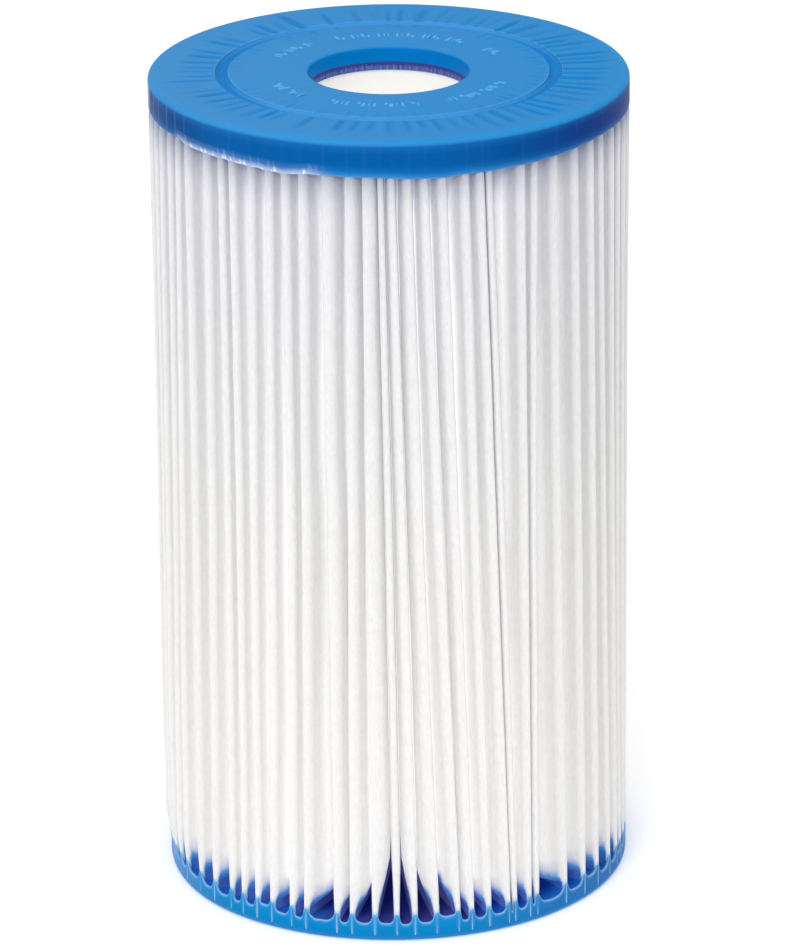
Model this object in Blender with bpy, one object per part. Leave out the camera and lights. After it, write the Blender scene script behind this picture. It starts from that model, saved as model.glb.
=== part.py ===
"""Pleated filter cartridge for a pool pump, with five bonded pieces.

Two cast end caps hold a pleated media pack round a windowed core. A hot-melt bead joins
the two ends of the media strip at the back. Metres, +Z up. The origin is the centre of
the bottom face, and the axis of the cartridge is +Z.
"""

import math

import bmesh
import bpy

# Driving dimensions of the whole cartridge
HEIGHT = 0.254
CAP_RADIUS = 0.073
HOLE_RADIUS = 0.0245
CLEARANCE = 0.0003  # between pieces that touch

# End caps, each measured inwards from its flat outer face
TOP_CAP_DEPTH = 0.0112
BOTTOM_CAP_DEPTH = 0.0088
SOLID_DEPTH = 0.0045  # plastisol over the ends of the media and the core
INNER_LIP_DEPTH = 0.0072
INNER_LIP_THICKNESS = 0.0008
OUTER_LIP_THICKNESS = 0.001
OUTER_RIM_ROUND = 0.0022
HOLE_RIM_ROUND = 0.001
LIP_CHAMFER = 0.0004
GROOVE_RADIUS = 0.0503
GROOVE_HALF_WIDTH = 0.0016
GROOVE_DEPTH = 0.0011
CAP_SEGMENTS = 64
OUTER_RIM_STEPS = 4
HOLE_RIM_STEPS = 2
GROOVE_STEPS = 4

# Core tube
CORE_INNER_RADIUS = 0.0258
CORE_OUTER_RADIUS = 0.0278
CORE_COLLAR = 0.018  # plain wall at each end
WINDOWS_ROUND = 12
WINDOW_ROWS = 12
WINDOW_SHARE_OF_PITCH = 0.6  # height of a window over the pitch of its rows

# Pleated media
PLEATS = 72
SHEET_THICKNESS = 0.0006
MEDIA_RADIUS = 0.0729  # outer face of the folds between the caps
POTTED_RADIUS = 0.0709  # outer face of the folds at their potted ends
FLARE_LENGTH = 0.020  # from the potted end to the full radius
OUTER_FOLD_HALF_WIDTH = 0.0015
INNER_FOLD_HALF_WIDTH = 0.00065
SEAM_ANGLE = math.radians(90.0)

# Seam bead
BEAD_WIDTH = 0.0014
BEAD_INNER_RADIUS = 0.062
BEAD_OUTER_RADIUS = 0.070
BEAD_EDGE_ROUND = 0.0003

SMOOTH_ANGLE = math.radians(35.0)


def clear_scene():
    for item in list(bpy.data.objects):
        bpy.data.objects.remove(item, do_unlink=True)


def make_material(name, colour, roughness, metallic=0.0):
    material = bpy.data.materials.new(name)
    material.use_nodes = True
    shader = material.node_tree.nodes["Principled BSDF"]
    shader.inputs["Base Color"].default_value = (*colour, 1.0)
    shader.inputs["Roughness"].default_value = roughness
    shader.inputs["Metallic"].default_value = metallic
    return material


def cap_material(name):
    return make_material(name, (0.03, 0.26, 0.62), 0.32)


def media_material():
    return make_material("spunbond_polyester", (0.9, 0.9, 0.92), 0.85)


def core_material():
    return make_material("core_plastic", (0.86, 0.84, 0.79), 0.5)


def bead_material():
    return make_material("hot_melt", (0.82, 0.76, 0.6), 0.4)


def finish_object(name, shape, material):
    """Turns a bmesh into a smooth-shaded object with outward faces and its material."""
    bmesh.ops.recalc_face_normals(shape, faces=shape.faces)
    mesh = bpy.data.meshes.new(name)
    shape.to_mesh(mesh)
    shape.free()
    mesh.materials.append(material)
    mesh.shade_smooth()
    mesh.set_sharp_from_angle(angle=SMOOTH_ANGLE)
    item = bpy.data.objects.new(name, mesh)
    bpy.context.scene.collection.objects.link(item)
    return item


def arc(centre_r, centre_h, radius, start, end, steps):
    """Points of a round stretch of a turned profile, with angles in degrees."""
    points = []
    for step in range(steps + 1):
        angle = math.radians(start + (end - start) * step / steps)
        points.append((centre_r + radius * math.cos(angle), centre_h + radius * math.sin(angle)))
    return points


def groove_profile(depth):
    """The round-bottomed ring groove, from its outer edge to its inner edge."""
    points = []
    for step in range(GROOVE_STEPS + 1):
        turn = math.pi * step / GROOVE_STEPS
        radius = GROOVE_RADIUS + GROOVE_HALF_WIDTH * math.cos(turn)
        points.append((radius, depth - GROOVE_DEPTH * math.sin(turn)))
    return points


def cap_profile(depth):
    """Closed profile of a cap as (radius, height), from its inner side at 0 to its face at depth."""
    trough_outer = CAP_RADIUS - OUTER_LIP_THICKNESS
    trough_inner = HOLE_RADIUS + INNER_LIP_THICKNESS
    ceiling = depth - SOLID_DEPTH
    lip_end = depth - INNER_LIP_DEPTH
    profile = [
        (trough_outer, 0.0),
        (CAP_RADIUS - LIP_CHAMFER, 0.0),
        (CAP_RADIUS, LIP_CHAMFER),
    ]
    rim_centre = CAP_RADIUS - OUTER_RIM_ROUND
    rim_height = depth - OUTER_RIM_ROUND
    profile += arc(rim_centre, rim_height, OUTER_RIM_ROUND, 0, 90, OUTER_RIM_STEPS)
    profile += groove_profile(depth)
    hole_centre = HOLE_RADIUS + HOLE_RIM_ROUND
    hole_height = depth - HOLE_RIM_ROUND
    profile += arc(hole_centre, hole_height, HOLE_RIM_ROUND, 90, 180, HOLE_RIM_STEPS)
    profile += [
        (HOLE_RADIUS, lip_end),
        (trough_inner, lip_end),
        (trough_inner, ceiling),
        (trough_outer, ceiling),
    ]
    return profile


def make_cap(name, depth, inner_side, direction):
    """Turns the profile round the axis; direction is +1 where the flat face looks up."""
    shape = bmesh.new()
    profile = cap_profile(depth)
    rings = []
    for segment in range(CAP_SEGMENTS):
        angle = 2.0 * math.pi * (segment + 0.5) / CAP_SEGMENTS
        ring = []
        for radius, height in profile:
            place = (
                radius * math.cos(angle),
                radius * math.sin(angle),
                inner_side + direction * height,
            )
            ring.append(shape.verts.new(place))
        rings.append(ring)
    for segment, ring in enumerate(rings):
        following = rings[(segment + 1) % CAP_SEGMENTS]
        for index in range(len(profile)):
            after = (index + 1) % len(profile)
            shape.faces.new((ring[index], following[index], following[after], ring[after]))
    return finish_object(name, shape, cap_material(name + "_plastisol"))


def potted_span():
    """Lowest and highest level of the media, the core and the bead inside the two troughs."""
    low = SOLID_DEPTH + CLEARANCE
    high = HEIGHT - SOLID_DEPTH - CLEARANCE
    return low, high


def core_levels():
    """Heights of the core's rows, as (level, whether a row of windows starts there)."""
    low, high = potted_span()
    pitch = (high - low - 2.0 * CORE_COLLAR) / WINDOW_ROWS
    bar = pitch * (1.0 - WINDOW_SHARE_OF_PITCH)
    levels = [(low, False)]
    for row in range(WINDOW_ROWS):
        start = low + CORE_COLLAR + row * pitch + bar / 2.0
        levels.append((start, True))
        levels.append((start + pitch - bar, False))
    levels.append((high, False))
    return levels


def make_core():
    """A tube whose wall is a lattice: columns alternate between ribs and windows."""
    shape = bmesh.new()
    columns = 2 * WINDOWS_ROUND
    levels = core_levels()
    grid = {}
    for side, radius in enumerate((CORE_INNER_RADIUS, CORE_OUTER_RADIUS)):
        for row, (level, _) in enumerate(levels):
            for column in range(columns):
                angle = 2.0 * math.pi * column / columns
                place = (radius * math.cos(angle), radius * math.sin(angle), level)
                grid[side, row, column] = shape.verts.new(place)

    def solid(row, column):
        if row < 0 or row >= len(levels) - 1:
            return False
        return not (levels[row][1] and column % 2 == 0)

    for row in range(len(levels) - 1):
        for column in range(columns):
            if not solid(row, column):
                continue
            after = (column + 1) % columns
            before = (column - 1) % columns
            for side in (0, 1):
                shape.faces.new((
                    grid[side, row, column],
                    grid[side, row, after],
                    grid[side, row + 1, after],
                    grid[side, row + 1, column],
                ))
            walls = []
            if not solid(row, before):
                walls.append(((row, column), (row + 1, column)))
            if not solid(row, after):
                walls.append(((row, after), (row + 1, after)))
            if not solid(row - 1, column):
                walls.append(((row, column), (row, after)))
            if not solid(row + 1, column):
                walls.append(((row + 1, column), (row + 1, after)))
            for first, second in walls:
                shape.faces.new((
                    grid[(0, *first)],
                    grid[(0, *second)],
                    grid[(1, *second)],
                    grid[(1, *first)],
                ))
    return finish_object("inner_core", shape, core_material())


def fold_points(outer_radius):
    """Centreline of the strip in plan, from one side of the seam right round to the other."""
    half = SHEET_THICKNESS / 2.0
    outer = outer_radius - half
    inner = CORE_OUTER_RADIUS + CLEARANCE + half
    pitch = 2.0 * math.pi / PLEATS
    outer_turn = OUTER_FOLD_HALF_WIDTH / outer
    inner_turn = INNER_FOLD_HALF_WIDTH / inner
    polar = [(outer, SEAM_ANGLE + outer_turn)]
    for pleat in range(PLEATS):
        valley = SEAM_ANGLE + (pleat + 0.5) * pitch
        crest = SEAM_ANGLE + (pleat + 1.0) * pitch
        polar.append((inner, valley - inner_turn))
        polar.append((inner, valley + inner_turn))
        polar.append((outer, crest - outer_turn))
        if pleat < PLEATS - 1:
            polar.append((outer, crest + outer_turn))
    return [(r * math.cos(a), r * math.sin(a)) for r, a in polar]


def offset_points(points, distance):
    """The polyline moved sideways by a distance, with mitred corners."""
    moved = []
    for index, (x, y) in enumerate(points):
        normals = []
        for first, second in ((index - 1, index), (index, index + 1)):
            if first < 0 or second >= len(points):
                continue
            dx = points[second][0] - points[first][0]
            dy = points[second][1] - points[first][1]
            length = math.hypot(dx, dy)
            normals.append((-dy / length, dx / length))
        nx = sum(n[0] for n in normals) / len(normals)
        ny = sum(n[1] for n in normals) / len(normals)
        scale = distance / (nx * nx + ny * ny)
        moved.append((x + nx * scale, y + ny * scale))
    return moved


def make_media():
    """One folded strip, a little narrower at both ends, where the caps pinch it."""
    shape = bmesh.new()
    low, high = potted_span()
    stations = (
        (low, POTTED_RADIUS),
        (low + FLARE_LENGTH, MEDIA_RADIUS),
        (high - FLARE_LENGTH, MEDIA_RADIUS),
        (high, POTTED_RADIUS),
    )
    rows = []
    for level, radius in stations:
        centreline = fold_points(radius)
        pair = []
        for side in (-1.0, 1.0):
            outline = offset_points(centreline, side * SHEET_THICKNESS / 2.0)
            pair.append([shape.verts.new((x, y, level)) for x, y in outline])
        rows.append(pair)
    count = len(rows[0][0])
    for (low_right, low_left), (high_right, high_left) in zip(rows, rows[1:], strict=False):
        for index in range(count - 1):
            after = index + 1
            for lower, upper in ((low_right, high_right), (low_left, high_left)):
                shape.faces.new((lower[index], lower[after], upper[after], upper[index]))
        for index in (0, count - 1):
            shape.faces.new((
                low_right[index],
                low_left[index],
                high_left[index],
                high_right[index],
            ))
    for right, left in (rows[0], rows[-1]):
        for index in range(count - 1):
            shape.faces.new((right[index], right[index + 1], left[index + 1], left[index]))
    return finish_object("pleated_media", shape, media_material())


def make_seam_bead():
    """A flat bar of hot melt between the two end flanks of the strip."""
    low, high = potted_span()
    shape = bmesh.new()
    bmesh.ops.create_cube(shape, size=1.0)
    size = (BEAD_WIDTH, BEAD_OUTER_RADIUS - BEAD_INNER_RADIUS, high - low)
    bmesh.ops.scale(shape, vec=size, verts=shape.verts)
    upright = [e for e in shape.edges if abs(e.verts[0].co.z - e.verts[1].co.z) > BEAD_WIDTH]
    bmesh.ops.bevel(shape, geom=upright, offset=BEAD_EDGE_ROUND, segments=2, affect="EDGES")
    item = finish_object("side_seam_bead", shape, bead_material())
    middle = (BEAD_INNER_RADIUS + BEAD_OUTER_RADIUS) / 2.0
    item.location = (
        middle * math.cos(SEAM_ANGLE),
        middle * math.sin(SEAM_ANGLE),
        (low + high) / 2.0,
    )
    return item


def make_cartridge():
    clear_scene()
    make_cap("top_end_cap", TOP_CAP_DEPTH, HEIGHT - TOP_CAP_DEPTH, 1.0)
    make_cap("bottom_end_cap", BOTTOM_CAP_DEPTH, BOTTOM_CAP_DEPTH, -1.0)
    make_media()
    make_core()
    make_seam_bead()


make_cartridge()
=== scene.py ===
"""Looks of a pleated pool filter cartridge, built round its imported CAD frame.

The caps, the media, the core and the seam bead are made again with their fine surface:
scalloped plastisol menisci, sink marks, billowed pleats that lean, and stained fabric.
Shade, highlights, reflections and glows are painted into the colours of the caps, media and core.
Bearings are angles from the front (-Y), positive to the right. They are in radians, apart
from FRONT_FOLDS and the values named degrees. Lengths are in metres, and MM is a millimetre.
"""

import math
import random

import bpy
import numpy as np
from mathutils import Matrix, Vector, noise


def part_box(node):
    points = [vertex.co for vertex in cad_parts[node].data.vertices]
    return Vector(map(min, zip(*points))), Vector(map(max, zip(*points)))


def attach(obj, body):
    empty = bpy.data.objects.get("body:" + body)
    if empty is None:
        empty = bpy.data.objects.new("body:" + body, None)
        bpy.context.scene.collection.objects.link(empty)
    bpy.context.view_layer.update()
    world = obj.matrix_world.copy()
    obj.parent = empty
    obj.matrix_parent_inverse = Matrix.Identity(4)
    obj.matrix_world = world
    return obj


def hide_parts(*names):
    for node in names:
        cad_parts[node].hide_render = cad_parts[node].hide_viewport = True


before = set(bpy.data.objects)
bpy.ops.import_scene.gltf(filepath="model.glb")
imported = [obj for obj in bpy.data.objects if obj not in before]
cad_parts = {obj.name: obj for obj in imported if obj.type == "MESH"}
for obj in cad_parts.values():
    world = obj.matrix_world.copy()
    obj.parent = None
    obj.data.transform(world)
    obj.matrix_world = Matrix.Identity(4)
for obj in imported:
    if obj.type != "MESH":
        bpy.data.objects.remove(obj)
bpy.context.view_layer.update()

MM = 0.001

# Sizes taken from the frame
top_low, top_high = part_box("top_end_cap")
bottom_low, bottom_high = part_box("bottom_end_cap")
bead_low, bead_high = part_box("side_seam_bead")
core_low, core_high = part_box("inner_core")
HEIGHT = top_high.z
CAP_RADIUS = top_high.x - 0.5 * MM
TOP_LEVEL = top_low.z
BOTTOM_LEVEL = bottom_high.z
CORE_OUTER = core_high.x

# Caps
HOLE_RADIUS = 24.1 * MM
INNER_LIP_DEPTH = 7.2 * MM
HOLE_BAND_DEPTH = 4.5 * MM
GROOVE_RADIUS = 50.2 * MM
GROOVE_HALF_WIDTH = 1.9 * MM
GROOVE_DEPTH = 1.6 * MM
OUTER_RIM_ROUND = 1.8 * MM
HOLE_RIM_ROUND = 0.9 * MM
MARK_RING = (34.2 * MM, 38.4 * MM)

# Pleats: (bearing at the top cap, bearing at the bottom cap) of the folds round the front
FRONT_FOLDS = (
    (-70.7, -75.0), (-65.2, -70.0), (-60.7, -65.0), (-56.5, -57.2), (-48.8, -50.8),
    (-43.8, -44.4), (-40.3, -40.3), (-34.5, -35.9), (-29.7, -31.5), (-25.5, -26.0),
    (-21.1, -22.2), (-15.4, -14.3), (-9.8, -10.6), (-5.8, -5.0), (-2.2, 0.3),
    (0.6, 4.7), (4.5, 10.0), (8.3, 15.4), (12.5, 18.8), (18.1, 23.3),
    (21.9, 28.6), (23.7, 30.4), (32.7, 34.7), (36.4, 36.9), (42.5, 46.4),
    (49.6, 53.7), (56.1, 59.9), (60.8, 66.8), (67.1, 72.5),
)
PLEATS = 72
FOLDS_LEFT_OF_FRONT = 22
SHEET = 0.55 * MM
FOLD_HALF_WIDTH = 0.62 * MM
MEDIA_INSET = 2.0 * MM  # from each outer face of the cartridge to the ends of the strip
POCKET_LOW = 5.6 * MM
POCKET_HIGH = 9.3 * MM
POCKET_SOAK = 8.6 * MM

rng = random.Random(41)


def smooth_step(x):
    x = np.clip(x, 0.0, 1.0)
    return x * x * (3.0 - 2.0 * x)


def ripple(*place):
    """Smooth noise between -1 and 1."""
    return noise.noise(Vector(place))


# ---------------------------------------------------------------- pleat layout


def fold_layout():
    """Bearings of all folds at the top and the bottom, from the seam round to the seam."""
    layout = [(-180.0, -180.0)]
    first_top, first_bottom = FRONT_FOLDS[0]
    for step in range(1, FOLDS_LEFT_OF_FRONT):
        share = step / FOLDS_LEFT_OF_FRONT
        shift = rng.uniform(-0.9, 0.9)
        lean = rng.uniform(-0.9, 0.9)
        layout.append((
            -180.0 + share * (first_top + 180.0) + shift + lean,
            -180.0 + share * (first_bottom + 180.0) + shift - lean,
        ))
    layout += list(FRONT_FOLDS)
    last_top, last_bottom = FRONT_FOLDS[-1]
    remaining = PLEATS - len(layout) + 1
    for step in range(1, remaining):
        share = step / remaining
        shift = rng.uniform(-0.9, 0.9)
        lean = rng.uniform(-0.9, 0.9)
        layout.append((
            last_top + share * (180.0 - last_top) + shift + lean,
            last_bottom + share * (180.0 - last_bottom) + shift - lean,
        ))
    layout.append((180.0, 180.0))
    return np.radians(np.array(layout))


FOLDS = fold_layout()
SWAY = np.radians([rng.uniform(-0.35, 0.35) for _ in range(PLEATS + 1)])
TOUCH_DEPTH = np.array([rng.uniform(2.8, 4.6) for _ in range(PLEATS + 1)]) * MM
OPENING_LOW = np.array([rng.uniform(3.4, 6.0) for _ in range(PLEATS + 1)]) * MM
OPENING_HIGH = np.array([rng.uniform(8.0, 16.0) for _ in range(PLEATS + 1)]) * MM
FOLD_RADIUS_DROP = np.array([rng.uniform(0.1, 0.7) for _ in range(PLEATS + 1)]) * MM
SLIM_FOLD_BEARING = math.radians(-0.6)
LEAST_ROOM = 0.4 * MM

# Heights (mm) of the taller openings above the bottom cap, by the front fold on their left
TALL_OPENINGS = {10: 7.0, 11: 7.2, 12: 8.5, 13: 20.5, 14: 19.5, 15: 12.5, 16: 10.5}


def opening_length(gap, low_end):
    """How far above a cap the pleats on both sides of a gap stay pinched."""
    if not low_end:
        return OPENING_HIGH[gap]
    tall = TALL_OPENINGS.get(gap - FOLDS_LEFT_OF_FRONT)
    return tall * MM if tall else OPENING_LOW[gap]


def straightness(length):
    """1 for the tall openings, whose sides are straight, and 0 for the low rounded ones."""
    return float(smooth_step((length - 6.5 * MM) / (4.0 * MM)))


def nearness_to_front(index, spread):
    """1 for the fold at the middle of the front, fading to 0 over the spread in degrees."""
    bearing = math.degrees(FOLDS[index][1])
    return math.exp(-(((bearing - 2.0) / spread) ** 2))


def pinch_at_top(index):
    """How far the pleats close up again right under the top cap, from 0 to 1."""
    bearing = math.degrees(FOLDS[index][0])
    return 0.06 + 0.16 * math.exp(-(((bearing - 3.0) / 5.0) ** 2))


def share_of_gap(index, neighbour):
    """How much of the space between two folds the first one fills; the folds lean away from the front."""
    left = min(index, neighbour)
    middle = (FOLDS[left].mean() + FOLDS[left + 1].mean()) / 2.0
    around = middle - SLIM_FOLD_BEARING
    lean = 0.36 * math.tanh(around / math.radians(2.0)) * math.cos(around / 2.0) ** 2
    return 0.5 - lean if index == left else 0.5 + lean


def fold_bearings(level):
    """Bearings of all folds at one height."""
    share = np.clip((level - BOTTOM_LEVEL) / (TOP_LEVEL - BOTTOM_LEVEL), 0.0, 1.0)
    bearings = FOLDS[:, 1] + (FOLDS[:, 0] - FOLDS[:, 1]) * share
    bearings = bearings + SWAY * math.sin(math.pi * share)
    for index in range(1, PLEATS):
        wobble = ripple(index * 7.3, level * 45.0, 0.0)
        bearings[index] += math.radians(0.16) * wobble * min(1.0, 6.0 * share * (1.0 - share))
    return bearings


def pressed_in(bearing, level):
    """How far the foot of the left side is pressed in towards the axis, a little out of round."""
    around = np.exp(-(((np.degrees(bearing) + 88.0) / 34.0) ** 2))
    low = 0.6 * MM * smooth_step((62.0 * MM - level) / (42.0 * MM))
    foot = 1.6 * MM * smooth_step((18.0 * MM - level) / (13.0 * MM))
    return (low + foot) * around


def turn(points_radius, bearing):
    """Place in plan for a radius and a bearing from the front."""
    return np.stack([points_radius * np.sin(bearing), -points_radius * np.cos(bearing)], axis=-1)


# ---------------------------------------------------------------- mesh helpers


def new_piece(name, vertices, faces, material, sharp_angle=50.0):
    mesh = bpy.data.meshes.new(name)
    mesh.from_pydata(vertices.reshape(-1, 3).tolist(), [], faces)
    mesh.materials.append(material)
    mesh.shade_smooth()
    mesh.set_sharp_from_angle(angle=math.radians(sharp_angle))
    mesh.update()
    piece = bpy.data.objects.new(name, mesh)
    bpy.context.scene.collection.objects.link(piece)
    return piece


def add_values(piece, name, values):
    layer = piece.data.attributes.new(name, "FLOAT", "POINT")
    layer.data.foreach_set("value", np.asarray(values, dtype=np.float32).ravel())


def grid_faces(rows, columns, wrap_rows, wrap_columns):
    """Quads over a grid of vertices that is stored row by row."""
    row_steps = rows if wrap_rows else rows - 1
    column_steps = columns if wrap_columns else columns - 1
    r = np.arange(row_steps)[:, None]
    c = np.arange(column_steps)[None, :]
    after_r = (r + 1) % rows
    after_c = (c + 1) % columns
    quads = np.stack([
        r * columns + c,
        r * columns + after_c,
        after_r * columns + after_c,
        after_r * columns + c,
    ], axis=-1)
    return quads.reshape(-1, 4).tolist()


# ---------------------------------------------------------------- pleated media


FLANK_DEPTHS = np.array([0.06, 0.24, 0.55, 1.0, 1.8, 3.0, 4.6, 7.0, 11.0, 22.0, 37.0]) * MM


def media_levels():
    low = MEDIA_INSET
    high = HEIGHT - MEDIA_INSET
    near_bottom = [0.0, 3.0, 5.0, 6.6, 8.0, 10.0, 12.5, 16.0, 20.0, 25.0, 32.0, 43.0]
    near_top = [0.0, 8.0, 10.0, 12.5, 16.0, 21.0, 28.0, 38.0]
    levels = [low + step * MM for step in near_bottom]
    levels += list(np.linspace(levels[-1], high - near_top[-1] * MM, 10)[1:-1])
    levels += [high - step * MM for step in reversed(near_top)]
    return levels


def flank(index, neighbour, side, level, bearings, bases, tip_radius, pinch_low, pinch_high):
    """Points of one flank from its fold inwards, as (radius, bearing)."""
    inner_radius = CORE_OUTER + SHEET
    radius = tip_radius - FLANK_DEPTHS
    reach = (radius - inner_radius) / (tip_radius - inner_radius)
    middle = bases[index] + (bearings[index] - bases[index]) * reach
    middle_next = bases[neighbour] + (bearings[neighbour] - bases[neighbour]) * reach
    gap = np.abs(middle_next - middle) * radius
    share = 0.5 + (share_of_gap(index, neighbour) - 0.5) * reach
    least = SHEET * 0.58 + np.minimum(LEAST_ROOM, gap * 0.2)
    room = np.clip(gap * share, least, gap - least) - SHEET * 0.58
    fold = np.clip(FLANK_DEPTHS / FOLD_HALF_WIDTH, 0.0, 1.0)
    rounded = FOLD_HALF_WIDTH * np.sqrt(1.0 - (1.0 - fold) ** 2)
    flat = rounded + 0.1 * MM * (1.0 - reach)
    risen = max(0.0, min(1.0, (level - BOTTOM_LEVEL) / pinch_low))
    straight = straightness(pinch_low)
    opened = (1.0 - straight) * smooth_step(risen) ** 0.6 + straight * risen
    opened *= 1.0 - pinch_at_top(index) * (1.0 - smooth_step((TOP_LEVEL - level) / pinch_high))
    touch = TOUCH_DEPTH[index] * (1.0 + 0.25 * ripple(index * 3.1, level * 20.0, side * 5.0))
    touch *= (0.55 + 0.45 * gap[0] / (6.4 * MM)) * (1.0 - 0.58 * nearness_to_front(index, 18.0))
    bulge = 1.0 - (1.0 - np.clip(FLANK_DEPTHS / touch, 0.0, 1.0)) ** 1.4
    width = flat + (room - flat) * bulge * opened
    width += 0.1 * MM * ripple(index * 2.3 + side, level * 55.0, 1.0) * bulge * opened
    width = np.minimum(width, room)
    return radius, middle + side * width / radius


def media_centreline(level):
    """Plan of the strip at one height: points, depth below the fold, and the gap's number."""
    bearings = fold_bearings(level)
    bases = np.linspace(-math.pi, math.pi, PLEATS + 1)
    inner_radius = CORE_OUTER + SHEET / 2.0
    points = []
    depths = []
    numbers = []

    def add(radius, bearing, depth, number):
        points.append(turn(np.atleast_1d(radius), np.atleast_1d(bearing)))
        depths.extend(np.atleast_1d(depth))
        numbers.extend([number] * len(np.atleast_1d(radius)))

    for index in range(PLEATS + 1):
        middle_share = math.sin(math.pi * np.clip(level / HEIGHT, 0.0, 1.0))
        drop = FOLD_RADIUS_DROP[index] * middle_share
        wobble = 0.09 * MM * ripple(index * 5.7, level * 80.0, 3.0)
        tip_radius = CAP_RADIUS + 0.04 * MM - SHEET / 2.0 - drop + wobble * middle_share
        tip_radius -= pressed_in(bearings[index], level)
        if level > TOP_LEVEL:
            tip_radius -= 0.25 * MM
        if index > 0:
            low = opening_length(index - 1, True)
            high = opening_length(index - 1, False)
            radius, bearing = flank(
                index, index - 1, -1.0, level, bearings, bases, tip_radius, low, high
            )
            add(radius[::-1], bearing[::-1], FLANK_DEPTHS[::-1], index - 1)
        if 0 < index < PLEATS:
            add(tip_radius, bearings[index], 0.0, index)
        if index < PLEATS:
            low = opening_length(index, True)
            high = opening_length(index, False)
            radius, bearing = flank(
                index, index + 1, 1.0, level, bearings, bases, tip_radius, low, high
            )
            add(radius, bearing, FLANK_DEPTHS, index)
            valley = (bases[index] + bases[index + 1]) / 2.0
            add(inner_radius, valley, tip_radius - inner_radius, index)
    return np.concatenate(points), np.array(depths), np.array(numbers)


def offset_line(points, distance):
    tangent = np.gradient(points, axis=0)
    length = np.linalg.norm(tangent, axis=1, keepdims=True)
    tangent = tangent / length
    normal = np.stack([tangent[:, 1], -tangent[:, 0]], axis=1)
    return points + normal * distance


def soak_and_shade_amount(level, depths, numbers):
    """How much plastisol the fabric has drawn up, with painted shade that deepens into the gaps and under
    the top cap: 1 in the cast, 0 well above it.
    """
    amounts = []
    for depth, number in zip(depths, numbers, strict=True):
        fingers = 0.5 + 0.5 * ripple(number * 2.7, depth * 300.0, 9.0)
        climb = (0.2 + 0.9 * fingers + 0.45 * min(depth, 6.0 * MM) / MM) * MM
        inside = smooth_step((depth - 0.2 * MM) / (0.9 * MM))
        length = opening_length(number, True)
        climb += 0.82 * length * straightness(length) * smooth_step(depth / (5.0 * MM))
        low = min(1.0, 1.0 - (level - POCKET_SOAK - climb) / (6.5 * MM))
        low *= 0.74 + 0.26 * straightness(length)
        # Painted shade and a faint bluish stain in the fabric just under the top cap.
        high = 0.13 * (1.0 - (TOP_LEVEL - level) / (14.0 * MM))
        amounts.append(max(0.0, min(1.0, low), high) * inside)
    return np.array(amounts)


def painted_glow_share(level, depths, numbers):
    """How strongly the fabric glows, a painted glow for light through the thin fabric: it is strongest
    inside the ordinary gaps.
    """
    pitch = np.diff(fold_bearings(level))[numbers] * CAP_RADIUS
    wide = smooth_step((pitch - 6.4 * MM) / (2.2 * MM))
    inside = smooth_step((depths - 0.8 * MM) / (1.8 * MM))
    deepest = smooth_step((depths - 2.6 * MM) / (2.4 * MM))
    return inside * (1.0 - 0.3 * deepest) * (1.0 - 0.4 * wide)


def make_media(material):
    levels = media_levels()
    loops = []
    values = {"soak_and_shade": [], "cast": [], "painted_recess_shade": [], "valley": [], "painted_glow": []}
    for level in levels:
        points, depths, numbers = media_centreline(level)
        outer = offset_line(points, SHEET / 2.0)
        inner = offset_line(points, -SHEET / 2.0)
        loop = np.concatenate([outer, inner[::-1]])
        loops.append(np.column_stack([loop, np.full(len(loop), level)]))
        in_cast = 1.0 if level < POCKET_HIGH or level > TOP_LEVEL + 2.0 * MM else 0.0
        here = {
            "soak_and_shade": soak_and_shade_amount(level, depths, numbers),
            "cast": in_cast * (1.0 - smooth_step((depths - 0.2 * MM) / (0.5 * MM))),
            # Painted shade, darker from each fold down into its gap.
            "painted_recess_shade": smooth_step((depths - 0.06 * MM) / (1.7 * MM)),
            # Painted light: the bottom of each gap is lightened again, as if light came through the
            # fabric.
            "valley": smooth_step((depths - 1.15 * MM) / (2.4 * MM)),
            "painted_glow": painted_glow_share(level, depths, numbers),
        }
        for name, value in here.items():
            values[name].append(np.concatenate([value, value[::-1]]))
    vertices = np.array(loops)
    rows, columns = vertices.shape[:2]
    faces = grid_faces(rows, columns, False, True)
    half = columns // 2
    for row in (0, rows - 1):
        start = row * columns
        for step in range(half - 1):
            quad = [
                start + step,
                start + step + 1,
                start + columns - 2 - step,
                start + columns - 1 - step,
            ]
            faces.append(quad if row else quad[::-1])
    piece = new_piece("pleated_media_sheet", vertices, faces, material, 60.0)
    for name, value in values.items():
        add_values(piece, name, value)
    middle, _, _ = media_centreline(HEIGHT / 2.0)
    developed = float(np.linalg.norm(np.diff(middle, axis=0), axis=1).sum())
    return piece, (developed, levels[-1] - levels[0])


# ---------------------------------------------------------------- end caps


POCKET_COLUMNS = (-0.97, -0.9, -0.8, -0.66, -0.48, -0.25, 0.0, 0.25, 0.48, 0.66, 0.8, 0.9, 0.97)
BODY_BLUE = np.array([0.0, 0.1, 0.36])
FACE_BLUE = np.array([0.022, 0.245, 0.585])
# Painted highlight on the face's outer rim.
RIM_HIGHLIGHT_BLUE = np.array([0.03, 0.34, 0.74])
# Bottom cap's wall, painted lighter than the top cap's as lit from the floor below.
LOWER_WALL_LIT_BLUE = np.array([0.0, 0.215, 0.52])
UPPER_WALL_LIT_BLUE = np.array([0.004, 0.265, 0.62])
# Painted shade on the cap's floor between the folds, navy at the front.
POCKET_SHADE_NAVY = np.array([0.07, 0.09, 0.40])
POCKET_BLUE = np.array([0.02, 0.19, 0.64])
PALE_SKIN = np.array([0.42, 0.68, 0.92])
LAVENDER = np.array([0.55, 0.58, 0.76])
# Bottom cap's wall: painted light at the left and painted shade at the right.
FOOT_LEFT_LIT_BLUE = np.array([0.11, 0.27, 0.62])
FOOT_RIGHT_SHADE_BLUE = np.array([0.035, 0.15, 0.46])
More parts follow.
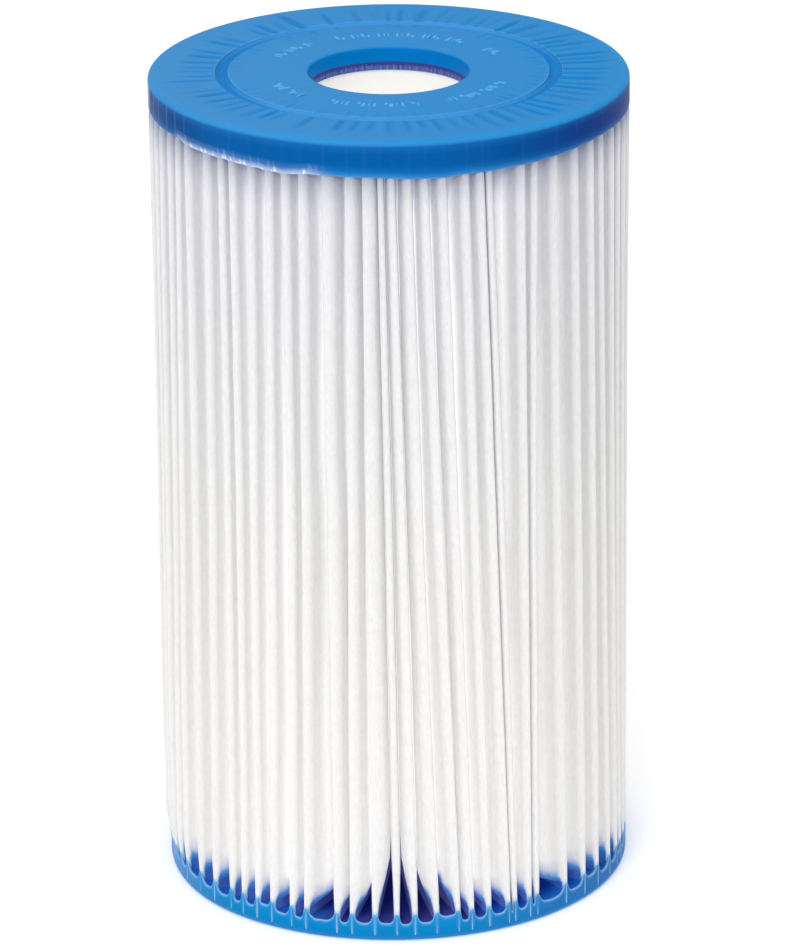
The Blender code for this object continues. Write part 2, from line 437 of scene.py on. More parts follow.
# Top cap's wall: painted shade towards the left and right sides.
BODY_LEFT_SHADE_BLUE = np.array([0.0, 0.05, 0.22])
BODY_RIGHT_SHADE_BLUE = np.array([0.0, 0.024, 0.195])
# Painted highlight along the top cap's lip.
LIP_HIGHLIGHT_BLUE = np.array([0.01, 0.24, 0.62])
BEAD_WHITE = np.array([0.95, 0.95, 0.97])
# Painted sheen, the face lighter towards the left.
FACE_LEFT_SHEEN_BLUE = np.array([0.045, 0.255, 0.58])
# Painted shade in the groove.
GROOVE_SHADE_BLUE = np.array([0.0, 0.2, 0.56])
# Painted highlights on the groove's edges.
GROOVE_EDGE_HIGHLIGHT_BLUE = np.array([0.09, 0.43, 0.82])
# Painted shade in the sink marks.
SINK_SHADE_BLUE = np.array([0.0, 0.18, 0.5])
# Painted highlight on the raised marks.
RAISED_HIGHLIGHT_BLUE = np.array([0.12, 0.46, 0.85])
HOLE_BLUE = np.array([0.0, 0.2, 0.6])
HOLE_BAND_NAVY = np.array([0.05, 0.05, 0.27])
HOLE_DASH_BLUE = np.array([0.22, 0.42, 0.80])


def arc(centre_r, centre_z, radius, start, end, steps):
    angles = np.radians(np.linspace(start, end, steps))
    return [(centre_r + radius * math.cos(a), centre_z + radius * math.sin(a)) for a in angles]


def face_profile():
    """From the foot of the hole's wall over the flat face to the outer rim; heights from the face."""
    profile = [(HOLE_RADIUS, -INNER_LIP_DEPTH)]
    profile += [(HOLE_RADIUS, -depth * MM) for depth in (6.7, 6.1, 5.5, 5.0, 4.6, 4.4, 3.4, 2.2)]
    hole_r = HOLE_RADIUS + HOLE_RIM_ROUND
    profile += arc(hole_r, -HOLE_RIM_ROUND, HOLE_RIM_ROUND, 180, 90, 6)
    profile += [(radius * MM, 0.0) for radius in (27.0, 29.0, 31.0, 33.0)]
    low, high = MARK_RING
    profile += [(radius, 0.0) for radius in np.linspace(low, high, 15)]
    profile += [(radius * MM, 0.0) for radius in (40.0, 42.0, 44.0, 46.0, 47.6)]
    for step in range(13):
        swing = math.pi * (1.0 - step / 12.0)
        radius = GROOVE_RADIUS + GROOVE_HALF_WIDTH * math.cos(swing)
        profile.append((radius, -GROOVE_DEPTH * math.sin(swing) ** 0.7))
    outer_ring = (52.8, 54.0, 56.0, 58.0, 60.0, 62.0, 64.0, 66.0, 68.0, 69.3)
    profile += [(radius * MM, 0.0) for radius in outer_ring]
    rim_r = CAP_RADIUS - OUTER_RIM_ROUND
    profile += arc(rim_r, -OUTER_RIM_ROUND, OUTER_RIM_ROUND, 90, 0, 8)
    return profile


def sink_marks(radius, bearing, seed):
    """Shallow radial marks where the ends of the pleats show through the face."""
    x = math.sin(bearing)
    y = math.cos(bearing)
    right = max(0.0, x)
    reach = 62.0 * MM + 6.0 * MM * ripple(x * 9.0, y * 9.0, seed) + 3.0 * MM * right
    inside = smooth_step((radius - 41.0 * MM) / (5.0 * MM))
    outside = smooth_step((reach + 4.0 * MM - radius) / (7.0 * MM))
    groove = smooth_step((abs(radius - GROOVE_RADIUS) - 1.6 * MM) / (1.2 * MM))
    strength = 0.3 if radius < GROOVE_RADIUS else 1.0
    slant = 0.05 * ripple(x * 4.0, y * 4.0, seed + 3.0)
    place = bearing + slant * (radius - GROOVE_RADIUS) / (20.0 * MM)
    phase = place * PLEATS + 2.6 * ripple(math.cos(place) * 6.0, math.sin(place) * 6.0, seed)
    ridge = (0.5 + 0.5 * math.cos(phase)) ** 2.5
    patch = ripple(math.cos(place) * 11.0, math.sin(place) * 11.0, seed + 1.0)
    uneven = max(0.0, 0.45 + 0.3 * right + 1.1 * patch)
    return -0.62 * MM * ridge * uneven * inside * outside * groove * strength


def moulding_marks(radius, bearing):
    """A broken ring of short raised dashes and dots, generic marks of the mould."""
    low, high = MARK_RING
    if not low < radius < high:
        return 0.0
    degrees = math.degrees(bearing)
    away = 180.0 - abs(degrees)
    block = int(degrees // 14.0)
    if abs(away - 90.0) < 22.0 or block % 4 == 1:
        return 0.0
    across = (radius - low) / (high - low)
    along = degrees / 2.6 - math.floor(degrees / 2.6)
    kind = (math.floor(degrees / 2.6) * 7 + 3) % 5
    length = (0.3, 0.62, 0.45, 0.62, 0.0)[kind]
    height = (0.55, 0.35, 0.8, 0.6, 0.0)[kind]
    centre = (0.5, 0.3, 0.5, 0.62, 0.0)[kind]
    within = max(abs(along - 0.5) / (length / 2.0 + 1e-6), abs(across - centre) / (height / 2.0 + 1e-6))
    return 0.42 * MM * float(smooth_step((1.25 - within) / 0.5))


def cap_columns(low_end):
    """Bearings of the cap's columns, closer together at each fold, with their nearness to a fold."""
    folds = fold_bearings(BOTTOM_LEVEL if low_end else TOP_LEVEL)
    bearings = []
    nearness = []
    pockets = []
    for number in range(PLEATS):
        half = (folds[number + 1] - folds[number]) / 2.0
        middle = (folds[number + 1] + folds[number]) / 2.0
        clear = max(half * 0.4, half - FOLD_HALF_WIDTH * 1.15 / CAP_RADIUS)
        bearings.append(folds[number])
        nearness.append(half / clear)
        pockets.append(number)
        for share in POCKET_COLUMNS:
            bearings.append(middle + clear * share)
            nearness.append(abs(share))
            pockets.append(number)
    return np.array(bearings), np.array(nearness), pockets


def lip_heights(bearings, nearness, pockets, low_end, seed):
    """Depth of the lip below the outer face, and of the plastisol behind it, for each column."""
    lips = []
    floors = []
    for bearing, near, number in zip(bearings, nearness, pockets, strict=True):
        degrees = math.degrees(bearing)
        lumps = 0.3 * MM * ripple(number * 4.1, bearing * 30.0, seed)
        rise = 1.0 - (1.0 - min(1.0, near) ** 3.2) ** 0.5
        if low_end:
            filled = 1.7 * MM if (number * 7 + 4) % 9 == 0 else 0.0
            low_lip = POCKET_LOW + 0.7 * MM * ripple(number * 9.7, 1.3, seed) + filled + lumps
            lip = low_lip + (POCKET_HIGH - low_lip) * rise
            floor = low_lip - 0.5 * MM
        else:
            strip = smooth_step((degrees + 60.0) / 6.0) * (1.0 - smooth_step((degrees + 26.0) / 8.0))
            lip = HEIGHT - TOP_LEVEL - 0.3 * MM + 1.1 * MM * strip
            lip += 0.22 * MM * ripple(bearing * 8.0, 4.0, seed) + 0.12 * MM * rise
            lip += 0.65 * MM * math.exp(-(((degrees - 10.0) / 9.0) ** 2))
            lip -= 1.5 * MM * smooth_step((-degrees - 10.0) / 42.0)
            lip -= 1.2 * MM * smooth_step((degrees - 30.0) / 34.0)
            floor = HEIGHT - TOP_LEVEL - 1.2 * MM
        lips.append(lip)
        floors.append(floor + (lip - floor) * 0.6 * rise)
    return np.array(lips), np.array(floors)


def blend(first, second, share):
    return first + (second - first) * np.asarray(share)[..., None]


def paint_low_wall(bearings, degrees, depth, up, right):
    """The bottom cap's wall: painted lighter than the top cap's, as lit from the floor below, painted
    light at the left and painted shade at the right; paler upwards, and pale where folds and its upper
    edge are thin.
    """
    share = np.clip((depth - 1.2 * MM) / (5.0 * MM), 0.0, 1.0)
    colour = blend(LOWER_WALL_LIT_BLUE, UPPER_WALL_LIT_BLUE, share)
    # Painted light towards the left and painted shade towards the right.
    left = smooth_step((-40.0 - degrees) / 40.0)
    colour = blend(colour, FOOT_LEFT_LIT_BLUE, 0.7 * left)
    colour = blend(colour, FOOT_RIGHT_SHADE_BLUE, 0.75 * right)
    edge = 0.75 * np.exp(-((up / 0.45) ** 2))
    streak = fold_streaks(bearings, True)[:, None] + 0.0 * depth
    streak = streak * smooth_step((depth - 2.2 * MM) / (0.8 * MM)) * 0.4
    return blend(colour, PALE_SKIN, np.clip(streak + edge * 0.8, 0.0, 1.0))


def paint_top_wall(bearings, degrees, depth, up, right):
    """The top cap's wall: painted shade towards its left and right sides, a painted highlight along its
    lip, a painted lavender reflection at the far left, and a thin lavender skin at the front left.
    """
    # Painted shade towards the right and left sides.
    colour = blend(BODY_BLUE, BODY_RIGHT_SHADE_BLUE, 0.9 * right)
    left = smooth_step((-40.0 - degrees) / 25.0)
    colour = blend(colour, BODY_LEFT_SHADE_BLUE, 0.9 * left)
    # Painted highlight along the lip, weaker towards the sides.
    low_zone = smooth_step(1.0 - up / 3.4) * (1.0 - 0.75 * right) * (1.0 - 0.6 * left)
    colour = blend(colour, LIP_HIGHLIGHT_BLUE, 0.7 * low_zone)
    strip = smooth_step((degrees + 62.0) / 6.0) * (1.0 - smooth_step((degrees + 22.0) / 10.0))
    strip = strip * smooth_step(1.0 - up / 2.4)
    colour = blend(colour, LAVENDER, 0.8 * strip)
    colour = blend(colour, BEAD_WHITE, 0.9 * strip * specks(bearings, up))
    # Painted reflection: lavender where the wall turns away at the far left.
    left_limb_reflection = smooth_step((-79.0 - degrees) / 6.0) * smooth_step((degrees + 110.0) / 12.0)
    colour = blend(colour, LAVENDER, 0.85 * left_limb_reflection)
    edge = 0.25 * np.exp(-((up / 0.5) ** 2))
    streak = fold_streaks(bearings, False)[:, None] + 0.0 * depth
    streak = streak * (0.16 * smooth_step((-50.0 - degrees) / 20.0) + 0.02)
    return blend(colour, PALE_SKIN, np.clip(streak + edge * 0.8, 0.0, 1.0))


def paint_face(bearings, radius, depth, marks):
    """The flat face: painted shade in its groove and sink marks, painted highlights on the groove's
    edges, the raised marks and the rim, and a painted sheen towards the left.
    """
    # Painted sheen: the face is lighter towards the left.
    leftward = 0.5 - 0.5 * np.sin(bearings)[:, None] * radius / CAP_RADIUS
    colour = blend(FACE_BLUE + 0.0 * radius[..., None], FACE_LEFT_SHEEN_BLUE, leftward ** 2)
    # Painted shade in the groove, weaker at the front and back.
    in_groove = smooth_step(1.4 - np.abs(radius - GROOVE_RADIUS) / GROOVE_HALF_WIDTH)
    facing = np.cos(bearings)[:, None]
    colour = blend(colour, GROOVE_SHADE_BLUE, in_groove * (1.0 - 0.6 * facing ** 2))
    # Painted shade in the sink marks.
    sunk = np.clip(-marks / (0.3 * MM), 0.0, 1.0)
    colour = blend(colour, SINK_SHADE_BLUE, 0.6 * sunk)
    # Painted highlights on the groove's edges that face the light: the inner edge at the front, the outer
    # edge at the back.
    outer_edge = np.exp(-(((radius - GROOVE_RADIUS - GROOVE_HALF_WIDTH) / (0.35 * MM)) ** 2))
    inner_edge = np.exp(-(((radius - GROOVE_RADIUS + GROOVE_HALF_WIDTH) / (0.35 * MM)) ** 2))
    lines = inner_edge * np.clip(facing + 0.3, 0.0, 1.0) + outer_edge * np.clip(0.2 - facing, 0.0, 1.0)
    colour = blend(colour, GROOVE_EDGE_HIGHLIGHT_BLUE, 0.9 * lines)
    # Painted highlight on the raised marks.
    raised = np.clip(marks / (0.3 * MM), 0.0, 1.0)
    colour = blend(colour, RAISED_HIGHLIGHT_BLUE, 0.8 * raised)
    # Painted highlight along the rounded outer rim.
    rim = np.exp(-(((depth - 0.5 * MM) / (0.6 * MM)) ** 2)) * smooth_step((radius - 69.5 * MM) / MM)
    return blend(colour, RIM_HIGHLIGHT_BLUE, 0.3 * rim)


def paint_cap(radius, height, bearings, lips, marks, low_end):
    """Colour of the plastisol at each vertex, paler where it is thin over the white fabric, with painted
    shade, highlights and a reflection on the walls and face, and painted shade on the floor between the
    folds.
    """
    depth = -height
    degrees = np.degrees(bearings)[:, None] + 0.0 * radius
    right = smooth_step((degrees - 5.0) / 60.0) * smooth_step((110.0 - degrees) / 30.0)
    outer = smooth_step((radius - (CAP_RADIUS - 0.8 * MM)) / (0.3 * MM))
    up = np.clip((lips[:, None] - depth) / MM, 0.0, 12.0)
    paint_wall = paint_low_wall if low_end else paint_top_wall
    wall_colour = paint_wall(bearings, degrees, depth, up, right)
    wall = outer * smooth_step((depth - 0.8 * MM) / (1.4 * MM))
    colour = blend(paint_face(bearings, radius, depth, marks), wall_colour, wall)
    hole = smooth_step((HOLE_RADIUS + 0.5 * MM - radius) / (0.4 * MM))
    colour = blend(colour, HOLE_BLUE, hole)
    band = hole * smooth_step((depth - HOLE_BAND_DEPTH + 0.1 * MM) / (0.3 * MM))
    colour = blend(colour, HOLE_BAND_NAVY, band)
    colour = blend(colour, HOLE_DASH_BLUE, band * 0.5 * hole_dashes(bearings, depth))
    # Painted shade: the cap's floor between the folds is navy at the front, bluer to the sides.
    inner = (1.0 - outer) * smooth_step((depth - 3.5 * MM) / MM) * (1.0 - hole)
    sideways = smooth_step((np.abs(degrees - 2.0) - 14.0) / 14.0)
    return np.clip(blend(colour, blend(POCKET_SHADE_NAVY, POCKET_BLUE, sideways), inner), 0.0, 1.0)


def specks(bearings, up):
    """Small bright beads in the thin lip, 0 or 1 at each vertex."""
    beads = [[ripple(bearing * 70.0, row * 2.0, 4.0) > 0.27 for row in column]
             for bearing, column in zip(bearings, up, strict=True)]
    return np.array(beads, dtype=float)


def hole_dashes(bearings, depth):
    """The cut ends of the media that show below the cast lining of the centre hole."""
    dashes = []
    for bearing, row in zip(bearings, depth, strict=True):
        strength = 0.5 + 0.9 * ripple(bearing * 34.0, 2.0, 0.0)
        height = (1.0 + 1.6 * (0.5 + 0.5 * ripple(bearing * 60.0, 7.0, 0.0))) * MM
        reach = smooth_step((row - (INNER_LIP_DEPTH - height)) / (0.5 * MM))
        dashes.append(np.clip(strength, 0.0, 1.0) * reach)
    return np.array(dashes)


def make_cap(name, material, low_end):
    bearings, nearness, pockets = cap_columns(low_end)
    seed = 2.0 if low_end else 7.0
    lips, floors = lip_heights(bearings, nearness, pockets, low_end, seed)
    outline = face_profile()
    rings = []
    marks = []
    for bearing, lip, floor in zip(bearings, lips, floors, strict=True):
        ring = []
        sunk = []
        for radius, height in outline:
            rise = sink_marks(radius, bearing, seed) if height == 0.0 else 0.0
            if height == 0.0 and not low_end:
                rise += moulding_marks(radius, bearing)
            sunk.append(rise)
            ring.append((radius, height + rise))
        straight = lip - 0.6 * MM - OUTER_RIM_ROUND
        for share in (0.25, 0.45, 0.65, 0.85):
            ring.append((CAP_RADIUS, -OUTER_RIM_ROUND - share * straight))
        ring.append((CAP_RADIUS, -(lip - 0.6 * MM)))
        ring.append((CAP_RADIUS - 0.03 * MM, -(lip - 0.25 * MM)))
        ring.append((CAP_RADIUS - 0.2 * MM, -lip))
        ring.append((CAP_RADIUS - 0.5 * MM, -(lip - 0.1 * MM)))
        ring.append((CAP_RADIUS - 1.0 * MM, -(lip - 0.55 * (lip - floor))))
        ring.append((CAP_RADIUS - 1.8 * MM, -floor))
        ring.append((CAP_RADIUS - 5.0 * MM, -floor))
        ring.append((CORE_OUTER + 1.5 * MM, -(INNER_LIP_DEPTH - 2.5 * MM)))
        ring.append((HOLE_RADIUS + 0.45 * MM, -(INNER_LIP_DEPTH - 0.6 * MM)))
        ring.append((HOLE_RADIUS + 0.3 * MM, -(INNER_LIP_DEPTH - 0.05 * MM)))
        rings.append(ring)
        marks.append(sunk + [0.0] * (len(ring) - len(sunk)))
    shape = np.array(rings)
    radius = shape[:, :, 0]
    height = shape[:, :, 1]
    level = -height if low_end else HEIGHT + height
    colours = paint_cap(radius, height, bearings, lips, np.array(marks), low_end).reshape(-1, 3)
    if low_end:
        near_rim = smooth_step((radius - 58.0 * MM) / (14.0 * MM))
        radius = radius - pressed_in(bearings[:, None], level) * near_rim
    sine = np.sin(bearings)[:, None]
    cosine = np.cos(bearings)[:, None]
    vertices = np.stack([radius * sine, -radius * cosine, level], axis=-1)
    faces = grid_faces(vertices.shape[0], vertices.shape[1], True, True)
    if low_end:
        faces = [face[::-1] for face in faces]
    piece = new_piece(name, vertices, faces, material, 60.0)
    layer = piece.data.attributes.new("tint", "FLOAT_COLOR", "POINT")
    layer.data.foreach_set("color", np.column_stack([colours, np.ones(len(colours))]).ravel())
    return piece


def fold_streaks(bearings, low_end):
    """Faint pale lines in the wall where a fold lies just under the surface."""
    folds = fold_bearings(BOTTOM_LEVEL if low_end else TOP_LEVEL)
    value = np.zeros(len(bearings))
    for index, fold in enumerate(folds):
        strength = 0.5 + 0.5 * ripple(index * 3.3, 0.7, 5.0 if low_end else 8.0)
        value += strength * np.exp(-(((bearings - fold) * CAP_RADIUS / (0.32 * MM)) ** 2))
    return np.clip(value, 0.0, 1.0)


# ---------------------------------------------------------------- core and bead


WINDOWS_ROUND = 12
WINDOW_ROWS = 12


def make_core(material):
    """Tube with rows of rectangular windows between two plain collars."""
    low = core_low.z
    high = core_high.z
    collar = 18.0 * MM
    pitch = (high - low - 2.0 * collar) / WINDOW_ROWS
    levels = [(low, False), (low + collar * 0.5, False)]
    for row in range(WINDOW_ROWS):
        start = low + collar + row * pitch + pitch * 0.2
        levels.append((start, True))
        levels.append((start + pitch * 0.6, False))
    levels.append((high - collar * 0.5, False))
    levels.append((high, False))
    steps = 6
    columns = WINDOWS_ROUND * 2 * steps
    radius = (HOLE_RADIUS + 0.5 * MM, CORE_OUTER - 0.1 * MM)
    index = {}
    vertices = []
    for side in (0, 1):
        for row, (level, _) in enumerate(levels):
            for column in range(columns):
                angle = 2.0 * math.pi * column / columns
                index[side, row, column] = len(vertices)
                vertices.append((radius[side] * math.cos(angle), radius[side] * math.sin(angle), level))

    def solid(row, column):
        if row < 0 or row >= len(levels) - 1:
            return False
        return not (levels[row][1] and (column // steps) % 2 == 0)

    faces = []
    for row in range(len(levels) - 1):
        for column in range(columns):
            if not solid(row, column):
                continue
            after = (column + 1) % columns
            corners = ((row, column), (row, after), (row + 1, after), (row + 1, column))
            faces.append([index[(1, *corner)] for corner in corners])
            faces.append([index[(0, *corner)] for corner in reversed(corners)])
            if not solid(row, (column - 1) % columns):
                edge = ((1, row, column), (1, row + 1, column), (0, row + 1, column), (0, row, column))
                faces.append([index[corner] for corner in edge])
            if not solid(row, after):
                edge = ((1, row + 1, after), (1, row, after), (0, row, after), (0, row + 1, after))
                faces.append([index[corner] for corner in edge])
            if not solid(row - 1, column):
                edge = ((1, row, after), (1, row, column), (0, row, column), (0, row, after))
                faces.append([index[corner] for corner in edge])
            if not solid(row + 1, column):
                top = row + 1
                edge = ((1, top, column), (1, top, after), (0, top, after), (0, top, column))
                faces.append([index[corner] for corner in edge])
    return new_piece("core_tube", np.array(vertices), faces, material, 40.0)


def make_bead(material):
    """An uneven line of hot melt between the two ends of the strip."""
    steps = 90
    around = 10
    rows = []
    middle_y = (bead_low.y + bead_high.y) / 2.0 + 0.9 * MM
    for step in range(steps + 1):
        share = step / steps
        level = bead_low.z + share * (bead_high.z - bead_low.z)
        swell = 1.0 + 0.22 * ripple(level * 110.0, 2.0, 0.0) + 0.1 * ripple(level * 420.0, 5.0, 0.0)
        row = []
        for corner in range(around):
            angle = 2.0 * math.pi * corner / around
            x = 0.62 * MM * swell * math.cos(angle)
            y = middle_y + 4.1 * MM * (0.9 + 0.1 * swell) * math.sin(angle)
            row.append((x, y, level))
        rows.append(row)
    vertices = np.array(rows)
    faces = grid_faces(steps + 1, around, False, True)
    faces.append(list(range(around))[::-1])
    last = steps * around
    faces.append([last + corner for corner in range(around)])
    return new_piece("seam_bead_melt", vertices, faces, material)


# ---------------------------------------------------------------- materials


# Sockets of a Mix node that go by number, because its colour, vector and float ones share names
MIX_FACTOR = 0
MIX_FIRST_COLOUR = 6
MIX_SECOND_COLOUR = 7
MIX_COLOUR = 2


class Nodes:
    """Short ways to add and join the nodes of one material."""

    def __init__(self, name):
        self.material = bpy.data.materials.new(name)
        self.material.use_nodes = True
        self.tree = self.material.node_tree
        self.shader = self.tree.nodes["Principled BSDF"]

    def add(self, kind, **inputs):
        node = self.tree.nodes.new(kind)
        for key, value in inputs.items():
            self.put(node, key.replace("_", " "), value)
        return node

    def put(self, node, key, value):
        """Join an output to one of the node's inputs, or give the input a value."""
        socket = node.inputs[key]
        if isinstance(value, bpy.types.NodeSocket):
            self.tree.links.new(value, socket)
        elif socket.type == "RGBA":
            socket.default_value = (*value, 1.0)
        else:
            socket.default_value = value

    def set(self, key, value):
        self.put(self.shader, key, value)

    def attribute(self, name):
        node = self.tree.nodes.new("ShaderNodeAttribute")
        node.attribute_name = name
        return node.outputs["Fac"]

    def place(self):
        return self.tree.nodes.new("ShaderNodeTexCoord").outputs["Object"]

    def scaled(self, scale):
        return self.add("ShaderNodeMapping", Vector=self.place(), Scale=scale).outputs["Vector"]

    def noise(self, vector, scale, detail=3.0, rough=0.55):
        node = self.add("ShaderNodeTexNoise", Vector=vector, Scale=scale, Detail=detail, Roughness=rough)
        return node.outputs["Fac"]

    def ramp(self, factor, *stops):
        node = self.tree.nodes.new("ShaderNodeValToRGB")
        self.tree.links.new(factor, node.inputs["Fac"])
        elements = node.color_ramp.elements
        while len(elements) < len(stops):
            elements.new(0.5)
        for element, (position, colour) in zip(elements, stops, strict=True):
            element.position = position
            element.color = (*colour, 1.0)
        return node.outputs["Color"]

    def mix(self, factor, first, second, kind="MIX"):
        node = self.tree.nodes.new("ShaderNodeMix")
        node.data_type = "RGBA"
        node.blend_type = kind
        self.put(node, MIX_FACTOR, factor)
        self.put(node, MIX_FIRST_COLOUR, first)
        self.put(node, MIX_SECOND_COLOUR, second)
        return node.outputs[MIX_COLOUR]

    def multiplied(self, first, second):
        return self.mix(1.0, first, second, "MULTIPLY")

    def maths(self, operation, first, second):
        node = self.tree.nodes.new("ShaderNodeMath")
        node.operation = operation
        self.put(node, 0, first)
        self.put(node, 1, second)
        return node.outputs[0]

    def bump(self, height, strength, distance):
        node = self.add("ShaderNodeBump", Height=height, Strength=strength, Distance=distance)
        self.tree.links.new(node.outputs["Normal"], self.shader.inputs["Normal"])


def plastisol(name):
    n = Nodes(name)
    cloud = n.noise(n.place(), 60.0, 4.0)
    fine = n.noise(n.place(), 700.0, 2.0)
    tint = n.tree.nodes.new("ShaderNodeAttribute")
    tint.attribute_name = "tint"
    shade = n.ramp(cloud, (0.3, (0.94,) * 3), (0.7, (1.0,) * 3))
    n.set("Base Color", n.multiplied(tint.outputs["Color"], shade))
    n.set("Roughness", n.ramp(cloud, (0.3, (0.34,) * 3), (0.75, (0.48,) * 3)))
    n.set("IOR", 1.42)
    n.set("Specular IOR Level", 0.035)
    n.set("Subsurface Weight", 0.1)
    n.set("Subsurface Radius", (0.15, 0.6, 1.0))
    n.set("Subsurface Scale", 0.0015)
    n.bump(fine, 0.06, 0.0002)
    return n.material


def spunbond(name):
    n = Nodes(name)
    along = n.noise(n.scaled((1.0, 1.0, 0.3)), 1100.0, 4.0, 0.8)
    blotch = n.noise(n.scaled((1.0, 1.0, 0.5)), 420.0, 3.0)
    fibre = n.ramp(along, (0.3, (0.9,) * 3), (0.65, (1.0,) * 3))
    height = n.tree.nodes.new("ShaderNodeSeparateXYZ")
    n.tree.links.new(n.place(), height.inputs["Vector"])
    upward = n.maths("DIVIDE", height.outputs["Z"], HEIGHT)
    # Painted shade: the flanks are darker than the folds, and both are darker towards the top.
    hollow_painted_shade = n.ramp(
        upward,
        (0.05, (0.69, 0.675, 0.655)),
        (0.55, (0.52, 0.515, 0.51)),
        (0.95, (0.395, 0.39, 0.425)),
    )
    crest_painted_shade = n.ramp(
        upward,
        (0.05, (0.905, 0.895, 0.885)),
        (0.55, (0.845, 0.84, 0.835)),
        (0.95, (0.785, 0.78, 0.805)),
    )
    # Painted shadow and a bluish stain in the fabric just under the top cap.
    under_cap_stain_and_shadow = n.ramp(
        upward,
        ((TOP_LEVEL - 13.0 * MM) / HEIGHT, (1.0, 1.0, 1.0)),
        ((TOP_LEVEL - 8.5 * MM) / HEIGHT, (0.945, 0.955, 0.965)),
        ((TOP_LEVEL - 3.9 * MM) / HEIGHT, (0.80, 0.82, 0.85)),
        ((TOP_LEVEL - 1.3 * MM) / HEIGHT, (0.64, 0.68, 0.74)),
        (TOP_LEVEL / HEIGHT, (0.52, 0.58, 0.67)),
    )
    mottle = n.ramp(blotch, (0.3, (0.985, 0.985, 0.985)), (0.7, (1.0, 1.0, 1.0)))
    flank = n.mix(n.attribute("painted_recess_shade"), crest_painted_shade, hollow_painted_shade)
    # Painted light lifting the bottom of each gap.
    base = n.mix(n.attribute("valley"), flank, (0.82, 0.815, 0.81))
    white = n.multiplied(n.multiplied(base, under_cap_stain_and_shadow), n.multiplied(fibre, mottle))
    wick = n.noise(n.scaled((1.0, 1.0, 0.4)), 260.0, 3.0)
    soak_and_shade = n.attribute("soak_and_shade")
    present = n.maths("MINIMUM", n.maths("MULTIPLY", soak_and_shade, 3.0), 0.3)
    ragged = n.maths("ADD", soak_and_shade, n.maths("MULTIPLY", n.maths("SUBTRACT", wick, 0.5), present))
    # A real stain from lavender to blue, whose darkest navy end is painted shade deep in the gaps.
    tone = n.ramp(
        ragged,
        (0.0, (1.0, 1.0, 1.0)),
        (0.16, (0.9, 0.9, 0.98)),
        (0.34, (0.60, 0.70, 0.95)),
        (0.52, (0.08, 0.38, 0.86)),
        (0.74, (0.02, 0.24, 0.78)),
        (1.0, (0.09, 0.12, 0.50)),
    )
    colour = n.mix(n.attribute("cast"), n.multiplied(white, tone), (0.33, 0.62, 0.90))
    n.set("Base Color", colour)
    # Painted glow: the fabric glows in its gaps, white, or blue where it is stained.
    stained = n.maths("MINIMUM", n.maths("MULTIPLY", soak_and_shade, 2.2), 1.0)
    through = n.mix(stained, (0.98, 0.97, 0.99), (0.12, 0.13, 0.40))
    n.set("Emission Color", n.multiplied(through, under_cap_stain_and_shadow))
    n.set("Emission Strength", n.maths("MULTIPLY", n.attribute("painted_glow"), VALLEY_PAINTED_GLOW))
    n.set("Roughness", 0.85)
    n.set("Specular IOR Level", 0.2)
    n.set("Sheen Weight", 0.1)
    n.set("Subsurface Weight", 0.4)
    n.set("Subsurface Radius", (1.0, 1.0, 1.0))
    n.set("Subsurface Scale", 0.0014)
    n.bump(n.maths("ADD", along, n.maths("MULTIPLY", blotch, 0.35)), 0.5, 0.0005)
    return n.material


def core_plastic(name):
    n = Nodes(name)
    grain = n.noise(n.place(), 400.0, 3.0)
    n.set("Base Color", n.mix(grain, (0.93, 0.92, 0.88), (0.97, 0.96, 0.93)))
    # Painted glow: the core is lit from within, standing in for light through the media.
    n.set("Emission Color", (1.0, 0.975, 0.94))
    n.set("Emission Strength", CORE_PAINTED_GLOW)
    n.set("Roughness", 0.5)
    n.set("Subsurface Weight", 0.2)
    n.set("Subsurface Scale", 0.002)
    n.bump(grain, 0.1, 0.0003)
    return n.material


def hot_melt(name):
    n = Nodes(name)
    grain = n.noise(n.place(), 300.0, 3.0)
    n.set("Base Color", n.mix(grain, (0.78, 0.70, 0.50), (0.86, 0.80, 0.64)))
    n.set("Roughness", n.ramp(grain, (0.3, (0.25,) * 3), (0.7, (0.45,) * 3)))
    n.set("Subsurface Weight", 0.3)
    n.set("Subsurface Scale", 0.002)
    n.bump(grain, 0.2, 0.0004)
    return n.material


def floor_paper(name):
    n = Nodes(name)
    grain = n.noise(n.place(), 90.0, 3.0)
    n.set("Base Color", n.mix(grain, (0.95, 0.95, 0.95), (0.965, 0.965, 0.965)))
    n.set("Emission Color", (1.0, 1.0, 1.0))
    n.set("Emission Strength", FLOOR_GLOW)
    n.set("Roughness", 0.9)
    n.set("Specular IOR Level", 0.1)
    return n.material


# ---------------------------------------------------------------- stage, lights and camera


CAMERA_DISTANCE = 1.885
CAMERA_ELEVATION = math.radians(20.44)
CAMERA_ROLL = math.radians(-0.487)
CAMERA_LENS = 233.6
CAMERA_SHIFT = (0.0097, -0.0066)
FLOOR_GLOW = 0.18  # light that a white studio throws back onto its floor
CORE_PAINTED_GLOW = 0.055  # painted glow on the core, for daylight through the white media
VALLEY_PAINTED_GLOW = 0.34  # painted glow at the bottom of the folds, for daylight through the thin fabric
HORIZON_LIGHT = 0.34
ZENITH_LIGHT = 1.12
KEY_PLACE = (-0.45, -1.55, 1.75)
KEY_SIZE = (1.0, 1.0)
KEY_POWER = 18.0


def make_camera():
    data = bpy.data.cameras.new("camera")
    data.lens = CAMERA_LENS
    data.sensor_width = 36.0
    data.clip_start = 0.05
    data.shift_x, data.shift_y = CAMERA_SHIFT
    camera = bpy.data.objects.new("camera", data)
    bpy.context.scene.collection.objects.link(camera)
    centre = Vector((0.0, 0.0, HEIGHT / 2.0))
    away = Vector((0.0, -math.cos(CAMERA_ELEVATION), math.sin(CAMERA_ELEVATION)))
    place = centre + away * CAMERA_DISTANCE
    look = (-away).to_track_quat("-Z", "Y").to_matrix().to_4x4()
    roll = Matrix.Rotation(CAMERA_ROLL, 4, "Z")
    camera.matrix_world = Matrix.Translation(place) @ look @ roll
    bpy.context.scene.camera = camera


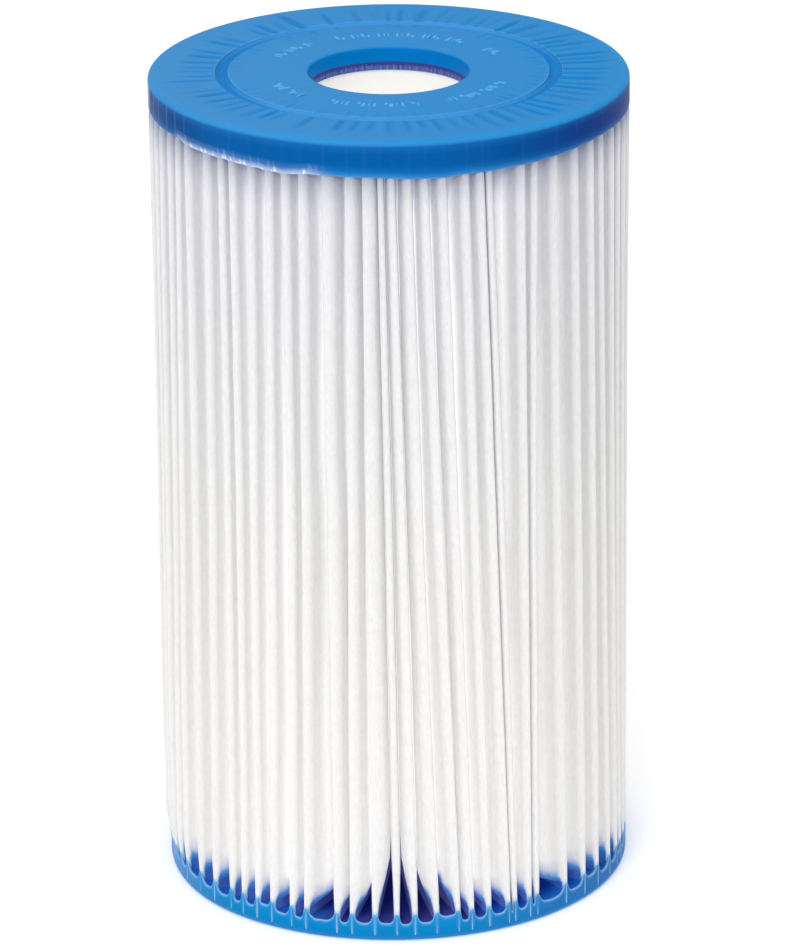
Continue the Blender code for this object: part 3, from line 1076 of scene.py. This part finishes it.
def make_key_light():
    data = bpy.data.lights.new("key_front", "AREA")
    data.shape = "RECTANGLE"
    data.size, data.size_y = KEY_SIZE
    data.energy = KEY_POWER
    light = bpy.data.objects.new("key_front", data)
    bpy.context.scene.collection.objects.link(light)
    direction = Vector((0.0, 0.0, HEIGHT / 2.0)) - Vector(KEY_PLACE)
    turned = direction.to_track_quat("-Z", "Y").to_matrix().to_4x4()
    light.matrix_world = Matrix.Translation(KEY_PLACE) @ turned


def make_floor(material):
    size = 6.0
    steps = 12
    ticks = np.linspace(-size, size, steps + 1)
    vertices = np.array([[(x, y, 0.0) for x in ticks] for y in ticks])
    floor = new_piece("floor", vertices, grid_faces(steps + 1, steps + 1, False, False), material)


def make_world():
    """A soft white dome, brighter overhead than at the horizon."""
    world = bpy.data.worlds.new("studio")
    world.use_nodes = True
    tree = world.node_tree
    place = tree.nodes.new("ShaderNodeTexCoord")
    split = tree.nodes.new("ShaderNodeSeparateXYZ")
    tree.links.new(place.outputs["Generated"], split.inputs["Vector"])
    strength = tree.nodes.new("ShaderNodeMapRange")
    tree.links.new(split.outputs["Z"], strength.inputs["Value"])
    strength.inputs["From Min"].default_value = 0.0
    strength.inputs["From Max"].default_value = 1.0
    strength.inputs["To Min"].default_value = HORIZON_LIGHT
    strength.inputs["To Max"].default_value = ZENITH_LIGHT
    background = tree.nodes["Background"]
    background.inputs["Color"].default_value = (1.0, 1.0, 1.0, 1.0)
    tree.links.new(strength.outputs["Result"], background.inputs["Strength"])
    bpy.context.scene.world = world


def set_view():
    scene = bpy.context.scene
    scene.view_settings.view_transform = "Standard"
    scene.view_settings.look = "None"
    scene.cycles.use_denoising = True
    scene.cycles.diffuse_bounces = 16
    scene.cycles.max_bounces = 20


# ---------------------------------------------------------------- build


def place_piece(piece, node):
    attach(piece, "root")
    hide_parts(node)


make_camera()
make_world()
set_view()
make_floor(floor_paper("floor_paper"))
make_key_light()

blue = plastisol("plastisol")
place_piece(make_cap("cap_top_casting", blue, False), "top_end_cap")
place_piece(make_cap("cap_bottom_casting", blue, True), "bottom_end_cap")

media, media_flat = make_media(spunbond("spunbond_polyester"))
place_piece(media, "pleated_media")

place_piece(make_core(core_plastic("core_plastic")), "inner_core")
place_piece(make_bead(hot_melt("hot_melt")), "side_seam_bead")
